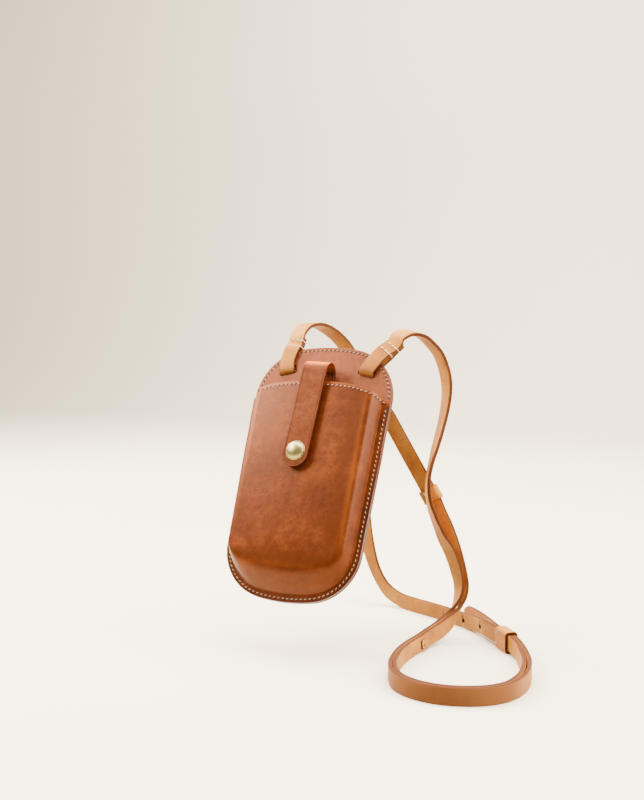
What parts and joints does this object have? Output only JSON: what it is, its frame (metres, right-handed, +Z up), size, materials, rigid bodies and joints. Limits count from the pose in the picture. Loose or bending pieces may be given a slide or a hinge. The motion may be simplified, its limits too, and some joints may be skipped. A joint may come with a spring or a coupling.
{
  "type": "phone pouch",
  "caption": "Wet-moulded leather phone pouch with a snap closure tab over the mouth and a long buckle-free shoulder strap with sliding keepers.",
  "frame": {"origin": "middle of the panel's flat rear face, where a back rest carries the pouch", "axes": "+Z up with the pouch leaning back as on a stand, +X to its right seen from the front, +Y to the rear"},
  "size_m": [0.2316, 0.2237, 0.2392],
  "materials": {
    "pocket_leather": "waxed and polished, burnished edges",
    "panel_leather": "waxed, burnished edges",
    "lining_leather": "smooth, burnished edges",
    "tab_leather": "waxed, burnished edges",
    "strap_leather": "natural vegetable tanned, smooth",
    "thread": "waxed linen thread",
    "pale_brass": "satin plated"
  },
  "bodies": {
    "pouch": {"back_panel": "panel_leather", "back_lining": "lining_leather", "back_yoke": "lining_leather", "front_pocket": "pocket_leather", "edge_thread": "thread", "mouth_thread": "thread", "tab_root": "tab_leather", "tab_root_thread": "thread", "snap_stud": "pale_brass", "snap_washer": "pale_brass", "strap_long": "strap_leather", "strap_short": "strap_leather", "left_loop_thread": "thread", "right_loop_thread": "thread", "upper_keeper": "strap_leather", "upper_keeper_thread": "thread", "splice_tongue": "strap_leather", "splice_stud": "strap_leather"},
    "tab_bend": {"tab_bend": "tab_leather"},
    "tab_flap": {"tab_flap": "tab_leather", "snap_cap": "pale_brass", "snap_socket": "pale_brass"},
    "lower_keeper": {"lower_keeper": "strap_leather", "lower_keeper_thread": "thread"}
  },
  "joints": [
    {"name": "tab_bend_hinge", "type": "hinge", "parent": "pouch", "child": "tab_bend", "pos_m": [-0.00109, 0.02723, 0.07928], "axis": [-0.999, 0.0188, 0.0413], "range_deg": [0, 70]},
    {"name": "tab_flap_hinge", "type": "hinge", "parent": "tab_bend", "child": "tab_flap", "pos_m": [-0.00122, 0.01607, 0.08115], "axis": [-0.999, 0.0188, 0.0413], "range_deg": [0, 70]},
    {"name": "lower_keeper_slide", "type": "slide", "parent": "pouch", "child": "lower_keeper", "axis": [0.6402, -0.7682, 0], "range_m": [-0.005, 0.005]}
  ],
  "couplings": [
    {"joint": "tab_flap_hinge", "follows": "tab_bend_hinge", "ratio": 1}
  ]
}
